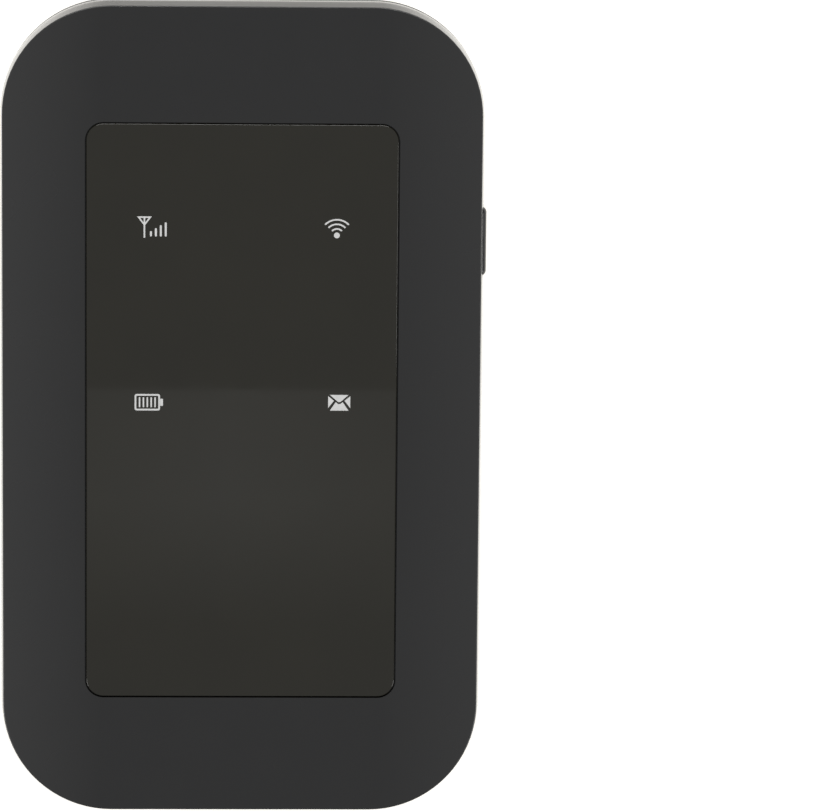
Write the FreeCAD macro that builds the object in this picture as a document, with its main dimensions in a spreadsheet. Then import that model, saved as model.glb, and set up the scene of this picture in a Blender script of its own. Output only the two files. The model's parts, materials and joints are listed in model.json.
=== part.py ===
import FreeCAD, Part
import math
import os
import re
import Sketcher

# Mobile hotspot, in millimetres. The device lies on its back: X to its right, Y towards its top
# edge, Z out of its front. The origin is the centre of the flat rear face that it rests on.

TOLERANCE = 0.001

SIZES = [
    # Outer form
    ("body_width", 76.0, "widest outline, at the parting line"),
    ("body_length", 128.7, "widest outline, at the parting line"),
    ("body_depth", 15.0, "rear face to front face"),
    ("corner_radius", 17.6, "corners of the widest outline"),
    ("face_inset", 0.5, "front face inside the widest outline"),
    ("face_edge_radius", 0.25, "rounding of the front face's rim"),
    ("parting_height", 8.0, "where front and rear covers meet"),
    ("parting_gap", 0.15, "visible seam between the covers"),
    ("rear_edge_radius", 5.0, "rounding between sides and rear face"),
    # Shell thicknesses
    ("front_wall", 1.5, "front cover side wall"),
    ("front_plate", 1.6, "front cover face plate"),
    ("rear_wall", 1.35, "rear cover wall and floor"),
    # Window
    ("window_width", 48.8, "glossy window"),
    ("window_length", 91.0, "glossy window"),
    ("window_radius", 2.7, "window corners"),
    ("window_thick", 0.85, "window sheet"),
    ("window_gap", 0.2, "groove round the window"),
    ("window_drop", 0.03, "window below the front face"),
    ("window_edge_radius", 0.2, "rounding of the window's rim"),
    ("adhesive_thick", 0.15, "adhesive under the window"),
    ("adhesive_width", 2.2, "width of the adhesive border"),
    # Pictogram lights
    ("icon_left", -14.3, "centre of the left pictograms"),
    ("icon_right", 15.1, "centre of the right pictograms"),
    ("icon_upper", 29.3, "centre of the upper pictograms"),
    ("icon_lower", 1.6, "centre of the lower pictograms"),
    ("light_width", 5.8, "aperture behind each pictogram, along X"),
    ("light_height", 4.4, "aperture behind each pictogram, along Y"),
    ("light_wall", 0.8, "wall of each light tube"),
    # Clips that hold the rear cover
    ("tab_width", 6.0, "clip tab"),
    ("tab_top", 9.6, "upper end of the clip tabs"),
    ("tab_outer", 1.65, "outer face of a tab, inside the widest outline"),
    ("tab_inner", 2.55, "inner face of a tab, inside the widest outline"),
    ("tab_root", 4.0, "height where the tabs leave the rear wall"),
    ("side_tab_upper", 16.0, "Y of the upper side tabs"),
    ("side_tab_lower", -22.0, "Y of the lower side tabs"),
    ("end_tab_offset", 15.0, "X of the tabs at both ends"),
    ("tab_clearance", 0.3, "room round each tab in the mid frame"),
    # Mid frame
    ("frame_inset", 1.7, "mid frame inside the widest outline"),
    ("frame_low", 1.6, "rear side of the mid frame"),
    ("frame_high", 8.3, "front rim of the mid frame"),
    ("frame_skin", 1.0, "mid frame wall and rear plate"),
    ("frame_edge_radius", 3.3, "rounding of its rear rim"),
    ("bay_width", 58.8, "battery bay"),
    ("bay_bottom", -52.4, "lower end of the battery bay"),
    ("bay_top", 22.4, "upper end of the battery bay"),
    ("bay_low", 7.3, "rear side of the bay floor"),
    ("bay_high", 8.1, "front side of the bay floor"),
    ("bay_corner", 0.6, "corner radius of the bay"),
    # Frame screws
    ("screw_x", 32.6, "screws on both long sides"),
    ("screw_upper", 40.0, "Y of the upper pair"),
    ("screw_middle", -2.0, "Y of the middle pair"),
    ("screw_lower", -42.0, "Y of the lower pair"),
    ("screw_seat", 5.0, "height of the screw heads' seat"),
    ("screw_length", 6.6, "screw shank"),
    ("head_radius", 1.45, "pan head"),
    ("head_height", 0.9, "pan head"),
    ("shank_radius", 0.8, "thread envelope"),
    ("thread_gap", 0.02, "modelled gap round a thread"),
    ("column_radius", 2.6, "mid frame columns"),
    ("boss_radius", 2.2, "front cover bosses"),
    ("boss_low", 8.4, "end of the front cover bosses"),
    # Main board
    ("board_inset", 3.0, "board inside the widest outline"),
    ("board_low", 8.7, "rear side of the board"),
    ("board_high", 9.7, "front side of the board"),
    ("board_top", 46.5, "upper edge of the board"),
    ("board_screw_length", 3.6, "board screw shank"),
    ("post_radius", 2.1, "posts that carry the board"),
    # Battery
    ("battery_width", 58.0, "pack"),
    ("battery_bottom", -52.0, "lower end of the pack"),
    ("battery_joint", 17.4, "where cell and end cap meet"),
    ("battery_top", 22.0, "upper end of the pack"),
    ("battery_low", 1.65, "rear side of the pack"),
    ("battery_high", 7.05, "front side of the pack"),
    ("battery_edge", 1.8, "rounded long edges"),
    ("label_thick", 0.1, "paper labels"),
    ("pad_thick", 0.06, "contact pads on the pack"),
    # Side key and its switch
    ("key_centre", 26.95, "Y of the power key"),
    ("key_height_centre", 11.3, "Z of the power key"),
    ("key_length", 11.1, "power key along Y"),
    ("key_height", 2.2, "power key along Z"),
    ("key_reach", 38.38, "outer face of the power key"),
    ("key_flange_in", 35.7, "inner face of its flange"),
    ("key_flange_out", 36.3, "outer face of its flange"),
    ("key_crown", 0.95, "rounding of the key"),
    ("key_clearance", 0.2, "gap round the key"),
    ("switch_in", 32.5, "inner face of the power switch"),
    ("switch_out", 35.0, "outer face of the power switch"),
    ("switch_width", 4.4, "both switches, along the wall"),
    ("switch_depth", 1.3, "depth of the power switch's plunger hole"),
    ("plunger_gap", 0.1, "play round a plunger in its hole"),
    # Micro-USB receptacle
    ("usb_half_width", 3.75, "half the shell's width"),
    ("usb_low", 9.75, "lowest face of the shell"),
    ("usb_high", 12.35, "highest face of the shell"),
    ("usb_sheet", 0.3, "shell sheet"),
    ("usb_mouth", -63.6, "Y of the mouth"),
    ("usb_back", -58.4, "Y of the back"),
    ("usb_opening_gap", 0.45, "wall opening round the shell"),
    ("usb_recess_gap", 1.1, "shallow recess round the shell"),
    ("usb_recess_depth", 0.2, "recess, from the front face's outline"),
    ("usb_inner_gap", 0.12, "modelled gap between shell and tongue block"),
    ("usb_contact_pitch", 0.65, "pitch of the five contacts"),
    # Reset switch
    ("reset_x", 12.0, "X of the reset pinhole"),
    ("reset_z", 11.0, "Z of the reset pinhole"),
    ("reset_radius", 0.6, "pinhole"),
    ("reset_face", -61.2, "Y of the reset switch's face"),
    # SIM socket
    ("sim_left", -29.5, "socket base"),
    ("sim_right", -14.5, "socket base"),
    ("sim_mouth", 27.0, "Y where the card goes in"),
    ("sim_back", 44.0, "Y of the closed end"),
    ("sim_sheet", 0.2, "socket cover sheet"),
    ("sim_slot_low", 7.2, "card slot"),
    ("sim_slot_high", 8.1, "card slot"),
    # Antennas
    ("carrier_top", 12.6, "front side of the antenna carrier"),
    ("carrier_skin", 1.0, "its plate"),
    ("carrier_wall", 1.1, "its wall"),
    ("foil_thick", 0.15, "antenna foil"),
    ("wifi_left", -34.3, "bent-up plate of the wireless antenna"),
    ("wifi_sheet", 0.2, "its sheet"),
    ("wifi_low", 10.4, "lower edge of the plate"),
    ("wifi_high", 12.9, "upper edge of the plate"),
    # Shield cans
    ("can_height", 2.0, "shield can"),
    ("can_sheet", 0.2, "shield can sheet"),
    ("can_radius", 0.9, "shield can corners"),
]

doc = FreeCAD.newDocument("MobileHotspot")
sheet = doc.addObject("Spreadsheet::Sheet", "Sizes")
for row, (alias, size, note) in enumerate(SIZES, 1):
    sheet.set(f"A{row}", alias)
    sheet.set(f"B{row}", str(size))
    sheet.setAlias(f"B{row}", alias)
    sheet.set(f"C{row}", note)
doc.recompute()

SUB_PARTS = []
PICTOGRAMS = [(x, y) for y in ("icon_upper", "icon_lower") for x in ("icon_left", "icon_right")]
SCREW_ROWS = ("screw_upper", "screw_middle", "screw_lower")
FRAME_SCREWS = [(x, y) for y in SCREW_ROWS for x in ("-screw_x", "screw_x")]
BOARD_SCREWS = [("-8", "42"), ("26", "42"), ("-20", "-57"), ("20", "-57")]

# What stands on the front side of the board. Cans: left, right, lower and upper limits, and vents
# along X and Y. Chips: centre, width, length and thickness.
SHIELD_CANS = {
    "modem_shield_can": ("-28", "2", "-34", "-9", 4, 3),
    "rf_shield_can": ("-24", "-3", "8", "24", 3, 2),
    "wifi_shield_can": ("2", "22", "8", "24", 3, 2),
}
CHIPS = {
    "modem_chip": ("-20", "-21", "11", "11", "1.0"),
    "memory_chip": ("-6", "-21", "9", "12", "0.9"),
    "rf_chip": ("-14", "16", "7", "7", "0.8"),
    "wifi_chip": ("12", "16", "8", "8", "0.8"),
    "power_chip": ("4", "-44", "6", "6", "0.8"),
}
INDUCTORS = [("-6", "-44"), ("12", "-44"), ("20", "-40")]
TANTALUMS = [("-13", "-47"), ("-18", "-47")]
TEST_PORTS = [("-3", "40"), ("4", "40")]
CAPACITOR_ROWS = [(-28, -37.5, 2.4, 12), (-2, -50, 2.2, 7), (-26, 37, 2.6, 10)]  # start, pitch, count
PACK_CONTACTS = ("-4", "0", "4")


# ---- Reading and binding sizes ----

def formula(text):
    """The text with every size name turned into a reference to the sheet."""
    return re.sub(r"[a-z_][a-z0-9_]*", lambda word: "Sizes." + word.group(), text)


def number(text):
    return float(sheet.evalExpression(formula(text)))


def bind(item, name, text):
    item.setExpression(name, formula(text))


def sub_part(item, label):
    item.Label = label
    SUB_PARTS.append(item)
    return item


def outline(inset):
    """Limits and corner radius of the body's rounded outline, inset from its widest line."""
    half_x = f"(body_width / 2 - ({inset}))"
    half_y = f"(body_length / 2 - ({inset}))"
    return "-" + half_x, half_x, "-" + half_y, half_y, f"corner_radius - ({inset})"


def around(x, y, width, height):
    """Limits of a rectangle round a centre."""
    return f"{x} - ({width}) / 2", f"{x} + ({width}) / 2", f"{y} - ({height}) / 2", f"{y} + ({height}) / 2"


# ---- Sketches and body features ----

def signed(sketch, kind, geometry, point, text, low_value):
    """Hold a point at a signed distance from the sketch's origin, bound to the sheet."""
    constraint = sketch.addConstraint(Sketcher.Constraint(kind, -1, 1, geometry, point, low_value))
    bind(sketch, f"Constraints[{constraint}]", text)


def draw_rounded(sketch, x_low, x_high, y_low, y_high, radius):
    left, right, bottom, top, r = map(number, (x_low, x_high, y_low, y_high, radius))
    first = sketch.GeometryCount
    corners = [
        (right - r, bottom + r, -90, (left + r, bottom), (right - r, bottom)),
        (right - r, top - r, 0, (right, bottom + r), (right, top - r)),
        (left + r, top - r, 90, (right - r, top), (left + r, top)),
        (left + r, bottom + r, 180, (left, top - r), (left, bottom + r)),
    ]
    up = FreeCAD.Vector(0, 0, 1)
    for x, y, start, line_from, line_to in corners:
        line = Part.LineSegment(FreeCAD.Vector(*line_from), FreeCAD.Vector(*line_to))
        circle = Part.Circle(FreeCAD.Vector(x, y, 0), up, r)
        sketch.addGeometry(line)
        sketch.addGeometry(Part.ArcOfCircle(circle, math.radians(start), math.radians(start + 90)))
    for step in range(8):
        following = first + (step + 1) % 8
        sketch.addConstraint(Sketcher.Constraint("Tangent", first + step, 2, following, 1))
    for side, kind in enumerate(("Horizontal", "Vertical", "Horizontal", "Vertical")):
        sketch.addConstraint(Sketcher.Constraint(kind, first + 2 * side))
    for corner in (3, 5, 7):
        sketch.addConstraint(Sketcher.Constraint("Equal", first + 1, first + corner))
    size = sketch.addConstraint(Sketcher.Constraint("Radius", first + 1, r))
    bind(sketch, f"Constraints[{size}]", radius)
    signed(sketch, "DistanceY", first, 1, y_low, bottom)
    signed(sketch, "DistanceX", first + 2, 1, x_high, right)
    signed(sketch, "DistanceY", first + 4, 1, y_high, top)
    signed(sketch, "DistanceX", first + 6, 1, x_low, left)


def draw_rectangle(sketch, x_low, x_high, y_low, y_high):
    left, right, bottom, top = map(number, (x_low, x_high, y_low, y_high))
    first = sketch.GeometryCount
    corners = [(left, bottom), (right, bottom), (right, top), (left, top)]
    for step in range(4):
        start = FreeCAD.Vector(*corners[step])
        end = FreeCAD.Vector(*corners[(step + 1) % 4])
        sketch.addGeometry(Part.LineSegment(start, end))
    for step in range(4):
        following = first + (step + 1) % 4
        sketch.addConstraint(Sketcher.Constraint("Coincident", first + step, 2, following, 1))
    for side, kind in enumerate(("Horizontal", "Vertical", "Horizontal", "Vertical")):
        sketch.addConstraint(Sketcher.Constraint(kind, first + side))
    signed(sketch, "DistanceY", first, 1, y_low, bottom)
    signed(sketch, "DistanceX", first + 1, 1, x_high, right)
    signed(sketch, "DistanceY", first + 2, 1, y_high, top)
    signed(sketch, "DistanceX", first + 3, 1, x_low, left)


def draw_circle(sketch, x, y, radius):
    centre = FreeCAD.Vector(number(x), number(y), 0)
    circle = sketch.addGeometry(Part.Circle(centre, FreeCAD.Vector(0, 0, 1), number(radius)))
    size = sketch.addConstraint(Sketcher.Constraint("Radius", circle, number(radius)))
    bind(sketch, f"Constraints[{size}]", radius)
    signed(sketch, "DistanceX", circle, 3, x, centre.x)
    signed(sketch, "DistanceY", circle, 3, y, centre.y)


def new_body(label):
    return sub_part(doc.addObject("PartDesign::Body", label), label)


def new_sketch(body, name, role, offset):
    """A sketch on one of the body's own origin planes, moved along its normal."""
    sketch = body.newObject("Sketcher::SketchObject", name + "Sketch")
    plane = next(item for item in body.Origin.OriginFeatures if item.Role == role)
    sketch.AttachmentSupport = [(plane, "")]
    sketch.MapMode = "FlatFace"
    bind(sketch, "AttachmentOffset.Base.z", offset)
    return sketch


def extrude(body, kind, name, low, high, shapes, role):
    """Add or remove material between two coordinates along the plane's axis."""
    start = low if kind == "Pad" else high
    if role == "XZ_Plane":
        start = f"-({high})" if kind == "Pad" else f"-({low})"
    before = body.Shape.Volume if body.Tip else 0.0
    sketch = new_sketch(body, name, role, start)
    for draw, *places in shapes:
        draw(sketch, *places)
    feature = body.newObject("PartDesign::" + kind, name)
    feature.Profile = sketch
    bind(feature, "Length", f"({high}) - ({low})")
    doc.recompute()
    change = feature.Shape.Volume - before
    if (kind == "Pad") != (change > 0) or abs(change) < TOLERANCE:
        raise RuntimeError(f"{body.Label}: {name} changed the volume by {change}")
    return feature


def pad(body, name, low, high, shapes, role="XY_Plane"):
    return extrude(body, "Pad", name, low, high, shapes, role)


def pocket(body, name, low, high, shapes, role="XY_Plane"):
    return extrude(body, "Pocket", name, low, high, shapes, role)


def round_edges(body, name, feature, radius, chosen):
    """Fillet every edge of the feature that the test chooses."""
    edges = [f"Edge{place}" for place, edge in enumerate(feature.Shape.Edges, 1) if chosen(edge.BoundBox)]
    if not edges:
        raise RuntimeError(f"{body.Label}: {name} finds no edge")
    rounded = body.newObject("PartDesign::Fillet", name)
    rounded.Base = (feature, edges)
    bind(rounded, "Radius", radius)
    doc.recompute()
    return rounded


def at_height(text):
    height = number(text)
    return lambda box: abs(box.ZMin - height) < TOLERANCE and abs(box.ZMax - height) < TOLERANCE


def outermost(text):
    """Chooses the edges that lie in the plane at that X."""
    place = number(text)
    return lambda box: abs(box.XMin - place) < TOLERANCE


def along_y(box):
    return box.YLength > 1 and box.XLength < TOLERANCE and box.ZLength < TOLERANCE


def standing_at(text):
    """Chooses the edges that stand upright at that Y."""
    place = number(text)
    return lambda box: box.ZLength > 10 * box.YLength and abs(box.YMin - place) < TOLERANCE


# ---- Primitives and booleans ----

def block(name, x_low, x_high, y_low, y_high, z_low, z_high):
    item = doc.addObject("Part::Box", name)
    for size, low, high in (("Length", x_low, x_high), ("Width", y_low, y_high), ("Height", z_low, z_high)):
        bind(item, size, f"({high}) - ({low})")
    for axis, low in (("x", x_low), ("y", y_low), ("z", z_low)):
        bind(item, f"Placement.Base.{axis}", low)
    return item


def rod(name, x, y, radius, z_low, z_high):
    """A cylinder along Z."""
    item = doc.addObject("Part::Cylinder", name)
    bind(item, "Radius", radius)
    bind(item, "Height", f"({z_high}) - ({z_low})")
    for axis, place in (("x", x), ("y", y), ("z", z_low)):
        bind(item, f"Placement.Base.{axis}", place)
    return item


def rod_along_x(name, x_low, x_high, y, z, radius):
    item = doc.addObject("Part::Cylinder", name)
    bind(item, "Radius", radius)
    bind(item, "Height", f"({x_high}) - ({x_low})")
    item.Placement.Rotation = FreeCAD.Rotation(FreeCAD.Vector(0, 1, 0), 90)
    for axis, place in (("x", x_low), ("y", y), ("z", z)):
        bind(item, f"Placement.Base.{axis}", place)
    return item


def fuse(name, items):
    item = doc.addObject("Part::MultiFuse", name)
    item.Shapes = items
    return item


def cut(name, base, tools):
    item = doc.addObject("Part::Cut", name)
    item.Base = base
    item.Tool = tools[0] if len(tools) == 1 else fuse(name + "Tools", tools)
    return item


def group(label, items):
    """Several separate solids of one kind, in one node."""
    item = doc.addObject("Part::Compound", label)
    item.Links = items
    return sub_part(item, label)


# ---- Covers ----

def clip_places(inset_low, inset_high):
    """Rectangles of the eight clip tabs, between two insets from the widest outline."""
    places = []
    for sign in ("-", ""):
        near = f"body_width / 2 - ({inset_high})"
        far = f"body_width / 2 - ({inset_low})"
        x_limits = (near, far) if sign == "" else (f"-({far})", f"-({near})")
        for y in ("side_tab_upper", "side_tab_lower"):
            places.append((*x_limits, f"{y} - tab_width / 2", f"{y} + tab_width / 2"))
        near = f"body_length / 2 - ({inset_high})"
        far = f"body_length / 2 - ({inset_low})"
        y_limits = (near, far) if sign == "" else (f"-({far})", f"-({near})")
        for x in ("-end_tab_offset", "end_tab_offset"):
            places.append((f"{x} - tab_width / 2", f"{x} + tab_width / 2", *y_limits))
    return places


def draw_shaving(sketch):
    """What the curved sides lose: between a straight side and an arc that leaves it at the parting line."""
    edge = "-body_length / 2"
    outside = "-body_length / 2 - 1"
    low = "parting_height"
    high = "body_depth"
    above = "body_depth + 0.5"
    inside = "-body_length / 2 + face_inset"
    radius = "((body_depth - parting_height) ^ 2 + face_inset ^ 2) / (2 * face_inset)"
    sweep = math.asin(number("body_depth - parting_height") / number(radius))
    centre = FreeCAD.Vector(number(edge) + number(radius), number(low), 0)
    circle = Part.Circle(centre, FreeCAD.Vector(0, 0, 1), number(radius))
    arc = sketch.addGeometry(Part.ArcOfCircle(circle, math.pi - sweep, math.pi))
    corners = [(edge, low), (outside, low), (outside, above), (inside, above), (inside, high)]
    places = [FreeCAD.Vector(number(y), number(z), 0) for y, z in corners]
    for start, end in zip(places, places[1:]):
        sketch.addGeometry(Part.LineSegment(start, end))
    for line in range(arc, arc + 4):
        sketch.addConstraint(Sketcher.Constraint("Coincident", line, 2, line + 1, 1))
    sketch.addConstraint(Sketcher.Constraint("Coincident", arc + 4, 2, arc, 1))
    for side, kind in enumerate(("Horizontal", "Vertical", "Horizontal", "Vertical"), 1):
        sketch.addConstraint(Sketcher.Constraint(kind, arc + side))
    size = sketch.addConstraint(Sketcher.Constraint("Radius", arc, number(radius)))
    bind(sketch, f"Constraints[{size}]", radius)
    signed(sketch, "DistanceX", arc, 2, edge, number(edge))
    signed(sketch, "DistanceY", arc, 2, low, number(low))
    signed(sketch, "DistanceY", arc, 3, low, number(low))
    signed(sketch, "DistanceY", arc, 1, high, number(high))
    signed(sketch, "DistanceX", arc + 2, 1, outside, number(outside))
    signed(sketch, "DistanceY", arc + 3, 1, above, number(above))


def curve_sides(body):
    """Sweep the shaving round the outline, so that the sides lean in towards the front face."""
    path = new_sketch(body, "SidePath", "XY_Plane", "parting_height")
    draw_rounded(path, *outline("0"))
    shaving = new_sketch(body, "SideShaving", "YZ_Plane", "corner_radius - body_width / 2")
    draw_shaving(shaving)
    before = body.Shape.Volume
    sides = body.newObject("PartDesign::SubtractivePipe", "CurvedSides")
    sides.Profile = shaving
    sides.Spine = (path, [])
    doc.recompute()
    if not 0 < before - sides.Shape.Volume < 0.05 * before:
        raise RuntimeError("front_cover: the swept shaving went wrong")
    return sides


def make_front_cover():
    body = new_body("front_cover")
    pad(body, "Form", "parting_height", "body_depth", [(draw_rounded, *outline("0"))])
    sides = curve_sides(body)
    round_edges(body, "FaceRim", sides, "face_edge_radius", at_height("body_depth"))
    plate = "body_depth - front_plate"
    pocket(body, "Interior", "parting_height", plate, [(draw_rounded, *outline("front_wall"))])
    recess_floor = "body_depth - window_drop - window_thick - adhesive_thick"
    limits = around("0", "0", "window_width + 2 * window_gap", "window_length + 2 * window_gap")
    recess = [(draw_rounded, *limits, "window_radius + window_gap")]
    pocket(body, "WindowRecess", recess_floor, "body_depth", recess)
    lights = [(draw_rectangle, *around(x, y, "light_width", "light_height")) for x, y in PICTOGRAMS]
    pocket(body, "LightApertures", plate, recess_floor, lights)
    bosses = [(draw_circle, x, y, "boss_radius") for x, y in FRAME_SCREWS]
    pad(body, "Bosses", "boss_low", plate, bosses)
    pilots = [(draw_circle, x, y, "shank_radius + thread_gap") for x, y in FRAME_SCREWS]
    pocket(body, "PilotHoles", "boss_low", "screw_seat + screw_length + 0.8", pilots)
    inner = "-(body_length / 2 - front_wall - 0.1)"
    gap = "usb_opening_gap"
    port = (f"-usb_half_width - {gap}", f"usb_half_width + {gap}", f"usb_low - {gap}", f"usb_high + {gap}")
    pocket(body, "UsbOpening", "-body_length / 2", inner, [(draw_rounded, *port, "1.1")], "XZ_Plane")
    half_recess = "(usb_half_width + usb_recess_gap)"
    port_recess = (f"-{half_recess}", half_recess, "usb_low - 1", "usb_high + 0.85")
    step = "-(body_length / 2 - face_inset - usb_recess_depth)"
    pocket(body, "UsbRecess", "-body_length / 2", step, [(draw_rounded, *port_recess, "1.7")], "XZ_Plane")
    pinhole = [(draw_circle, "reset_x", "reset_z", "reset_radius")]
    pocket(body, "ResetPinhole", "-body_length / 2", inner, pinhole, "XZ_Plane")
    opening_height = "(key_height + 2 * key_clearance)"
    key = around("key_centre", "key_height_centre", "key_length + 2 * key_clearance", opening_height)
    key_wall = "body_width / 2 - front_wall - 0.1"
    radius = f"0.48 * {opening_height}"
    pocket(body, "KeyOpening", key_wall, "body_width / 2", [(draw_rounded, *key, radius)], "YZ_Plane")


def make_rear_cover():
    body = new_body("rear_cover")
    rim = "parting_height - parting_gap"
    form = pad(body, "Form", "0", rim, [(draw_rounded, *outline("0"))])
    rounded = round_edges(body, "RearEdge", form, "rear_edge_radius", at_height("0"))
    faces = list(enumerate(rounded.Shape.Faces, 1))
    shell = body.newObject("PartDesign::Thickness", "Shell")
    shell.Base = (rounded, [f"Face{place}" for place, face in faces if at_height(rim)(face.BoundBox)])
    shell.Reversed = True
    bind(shell, "Value", "rear_wall")
    doc.recompute()
    roots = [(draw_rectangle, *limits) for limits in clip_places("rear_wall - 0.2", "tab_inner")]
    pad(body, "ClipRoots", "tab_root", rim, roots)
    tips = [(draw_rectangle, *limits) for limits in clip_places("tab_outer", "tab_inner")]
    pad(body, "ClipTabs", rim, "tab_top", tips)
    notch = [(draw_rounded, "-44", "-34", f"{rim} - 0.9", f"{rim} + 0.9", "0.6")]
    pocket(body, "PryNotch", "-body_width / 2", "-body_width / 2 + 0.9", notch, "YZ_Plane")


def make_window():
    body = new_body("display_window")
    top = "body_depth - window_drop"
    limits = around("0", "0", "window_width", "window_length")
    sheet_form = pad(body, "Sheet", f"{top} - window_thick", top, [(draw_rounded, *limits, "window_radius")])
    round_edges(body, "Rim", sheet_form, "window_edge_radius", at_height(top))
    ring = new_body("window_adhesive")
    low = f"{top} - window_thick - adhesive_thick"
    outer = around("0", "0", "window_width - 0.4", "window_length - 0.4")
    inner_size = ("window_width - 0.4 - 2 * adhesive_width", "window_length - 0.4 - 2 * adhesive_width")
    inner = around("0", "0", *inner_size)
    pad(ring, "Border", low, f"{low} + adhesive_thick", [
        (draw_rounded, *outer, "window_radius"),
        (draw_rounded, *inner, "window_radius / 2"),
    ])


# ---- Pictogram lighting ----

def make_lighting():
    plate = "body_depth - front_plate"
    diffusers = []
    lamps = []
    for place, (x, y) in enumerate(PICTOGRAMS):
        limits = around(x, y, "light_width - 0.2", "light_height - 0.2")
        diffusers.append(block(f"Diffuser{place}", *limits, f"{plate} + 0.03", f"{plate} + 0.5"))
        base = block(f"LampBase{place}", *around(x, y, "1.8", "1.0"), "board_high", "board_high + 0.3")
        lens = block(f"LampLens{place}", *around(x, y, "1.2", "0.9"), "board_high + 0.3", "board_high + 0.7")
        lamps.append(fuse(f"Lamp{place}", [base, lens]))
    group("icon_diffusers", diffusers)
    group("status_leds", lamps)
    shroud = new_body("light_shroud")
    top = f"{plate} - 0.1"
    web = f"{top} - 0.6"
    edge = "light_width / 2 + 2"
    limits = (f"icon_left - {edge}", f"icon_right + {edge}", f"icon_lower - {edge}", f"icon_upper + {edge}")
    middle = (f"icon_left + {edge}", f"icon_right - {edge}", f"icon_lower + {edge}", f"icon_upper - {edge}")
    pad(shroud, "Web", web, top, [(draw_rounded, *limits, "2"), (draw_rounded, *middle, "2")])
    tube_size = ("light_width + 2 * light_wall", "light_height + 2 * light_wall")
    tubes = [(draw_rounded, *around(x, y, *tube_size), "0.8") for x, y in PICTOGRAMS]
    pad(shroud, "Tubes", "board_high + 0.2", web, tubes)
    wells = [(draw_rectangle, *around(x, y, "light_width", "light_height")) for x, y in PICTOGRAMS]
    pocket(shroud, "Wells", "board_high + 0.2", top, wells)


# ---- Mid frame and screws ----

def make_mid_frame():
    body = new_body("mid_frame")
    floor = "frame_low + frame_skin"
    form = pad(body, "Form", "frame_low", "frame_high", [(draw_rounded, *outline("frame_inset"))])
    round_edges(body, "RearEdge", form, "frame_edge_radius", at_height("frame_low"))
    inner_outline = outline("frame_inset + frame_skin")
    hollow = pocket(body, "Hollow", floor, "frame_high", [(draw_rounded, *inner_outline)])
    round_edges(body, "InnerEdge", hollow, "frame_edge_radius - frame_skin", at_height(floor))
    half = "bay_width / 2"
    wall = "frame_skin"
    bay_block = (f"-{half} - {wall}", f"{half} + {wall}", f"bay_bottom - {wall}", f"bay_top + {wall}")
    pad(body, "BayBlock", floor, "bay_high", [(draw_rectangle, *bay_block)])
    sim_block = ("sim_left - 2.5", "sim_right + 2.5", f"bay_top + {wall} - 0.2", "sim_back + 3")
    pad(body, "SimBlock", floor, "bay_high", [(draw_rectangle, *sim_block)])
    columns = [(draw_circle, x, y, "column_radius") for x, y in FRAME_SCREWS]
    pad(body, "Columns", floor, "frame_high", columns)
    posts = [(draw_circle, x, y, "post_radius") for x, y in BOARD_SCREWS]
    pad(body, "Posts", floor, "board_low", posts)
    bay = (f"-{half}", half, "bay_bottom", "bay_top")
    pocket(body, "Bay", "frame_low", "bay_low", [(draw_rounded, *bay, "bay_corner")])
    well = ("sim_left - 1.5", "sim_right + 1.5", "bay_top + 2.1", "sim_back + 2")
    pocket(body, "SimWell", "frame_low", "bay_high", [(draw_rounded, *well, "1")])
    slot = ("sim_left - 0.5", "sim_right + 0.5", "sim_mouth - 16", "bay_top + 2.3")
    pocket(body, "CardSlot", "bay_low", "bay_high", [(draw_rectangle, *slot)])
    connector = ("-6.3", "6.3", "bay_top - 0.1", "bay_top + 1.1")
    pocket(body, "ConnectorSlot", "frame_low + 1.2", "frame_high", [(draw_rectangle, *connector)])
    seats = [(draw_circle, x, y, "head_radius + 0.25") for x, y in FRAME_SCREWS]
    pocket(body, "HeadSeats", "frame_low", "screw_seat", seats)
    clearance = [(draw_circle, x, y, "shank_radius + 0.2") for x, y in FRAME_SCREWS]
    pocket(body, "ScrewHoles", "screw_seat", "frame_high", clearance)
    pilots = [(draw_circle, x, y, "shank_radius + thread_gap") for x, y in BOARD_SCREWS]
    pocket(body, "PostHoles", "board_high - board_screw_length - 0.6", "board_low", pilots)
    room = "tab_clearance"
    wide = []
    for place, (x_low, x_high, y_low, y_high) in enumerate(clip_places("1", "tab_inner + tab_clearance")):
        if place % 4 < 2:
            wide.append((draw_rectangle, x_low, x_high, f"{y_low} - {room}", f"{y_high} + {room}"))
        else:
            wide.append((draw_rectangle, f"{x_low} - {room}", f"{x_high} + {room}", y_low, y_high))
    pocket(body, "ClipNotches", "frame_low", "frame_high", wide)


def screw(name, x, y, seat, length, points_down):
    """A pan-head cross-recess screw. Its head is below the seat when it is driven upwards."""
    if points_down:
        head_limits = (seat, f"{seat} + head_height")
        shank_limits = (f"{seat} - {length}", seat)
        recess_limits = (f"{seat} + head_height - 0.5", f"{seat} + head_height")
    else:
        head_limits = (f"{seat} - head_height", seat)
        shank_limits = (seat, f"{seat} + {length}")
        recess_limits = (f"{seat} - head_height", f"{seat} - head_height + 0.5")
    head = rod(name + "Head", x, y, "head_radius", *head_limits)
    shank = rod(name + "Shank", x, y, "shank_radius", *shank_limits)
    blades = [
        block(name + "BladeX", *around(x, y, "1.7", "0.35"), *recess_limits),
        block(name + "BladeY", *around(x, y, "0.35", "1.7"), *recess_limits),
    ]
    return cut(name, fuse(name + "Blank", [head, shank]), blades)


def make_screws():
    frame_set = []
    for place, (x, y) in enumerate(FRAME_SCREWS):
        frame_set.append(screw(f"FrameScrew{place}", x, y, "screw_seat", "screw_length", False))
    group("frame_screws", frame_set)
    board_set = []
    for place, (x, y) in enumerate(BOARD_SCREWS):
        board_set.append(screw(f"BoardScrew{place}", x, y, "board_high", "board_screw_length", True))
    group("board_screws", board_set)


# ---- Main board and what is soldered to it ----

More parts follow.
